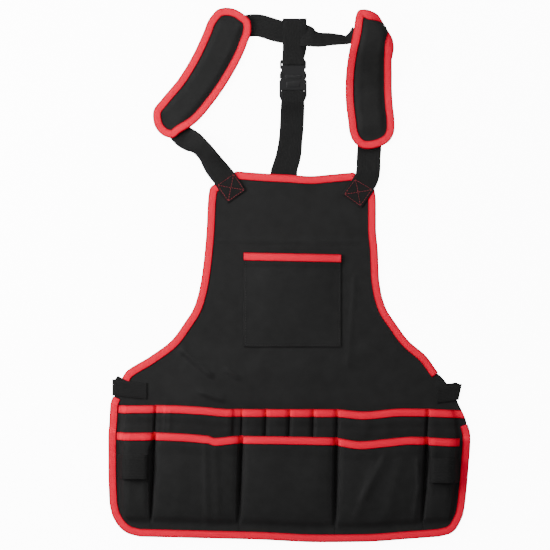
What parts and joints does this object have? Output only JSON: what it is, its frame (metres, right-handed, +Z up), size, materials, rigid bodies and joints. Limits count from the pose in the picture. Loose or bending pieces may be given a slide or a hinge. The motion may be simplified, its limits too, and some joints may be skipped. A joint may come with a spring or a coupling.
{
  "type": "gardening apron",
  "caption": "Gardening apron laid flat: bib and skirt with rows of taped pockets, padded shoulder harness, side-release back buckle and a waist belt.",
  "frame": {"origin": "on the table, under the middle of the apron's whole length and width", "axes": "+X to the right across the laid apron, +Y from the hem up to the shoulder pads, +Z up off the table"},
  "size_m": [0.576, 0.8521, 0.0406],
  "materials": {
    "cloth": "matte coated weave, black",
    "tape": "matte ribbed binding tape, red",
    "webbing": "matte ribbed webbing, black",
    "plastic": "fine satin texture, black"
  },
  "bodies": {
    "root": {"body_panel": "cloth", "chest_pocket": "cloth", "upper_pocket_left_side": "cloth", "upper_pocket_left": "cloth", "tool_slots": "cloth", "upper_pocket_right": "cloth", "upper_pocket_right_side": "cloth", "lower_pocket_left_side": "cloth", "lower_pocket_left": "cloth", "lower_pocket_middle": "cloth", "lower_pocket_right": "cloth", "lower_pocket_right_side": "cloth", "shoulder_pad_left": "cloth", "shoulder_pad_right": "cloth", "bib_binding": "tape", "skirt_binding": "tape", "chest_pocket_binding": "tape", "upper_pocket_binding": "tape", "lower_pocket_binding": "tape", "shoulder_pad_left_binding": "tape", "shoulder_pad_right_binding": "tape", "hammer_loop_left": "webbing", "hammer_loop_right": "webbing", "front_strap_left": "webbing", "front_strap_right": "webbing", "neck_strap": "webbing", "back_strap_loop": "webbing", "back_strap": "webbing", "waist_belt_left": "webbing", "waist_belt_right": "webbing", "waist_buckle": "plastic", "back_buckle_socket": "plastic", "back_buckle_plug": "plastic"}
  },
  "joints": []
}
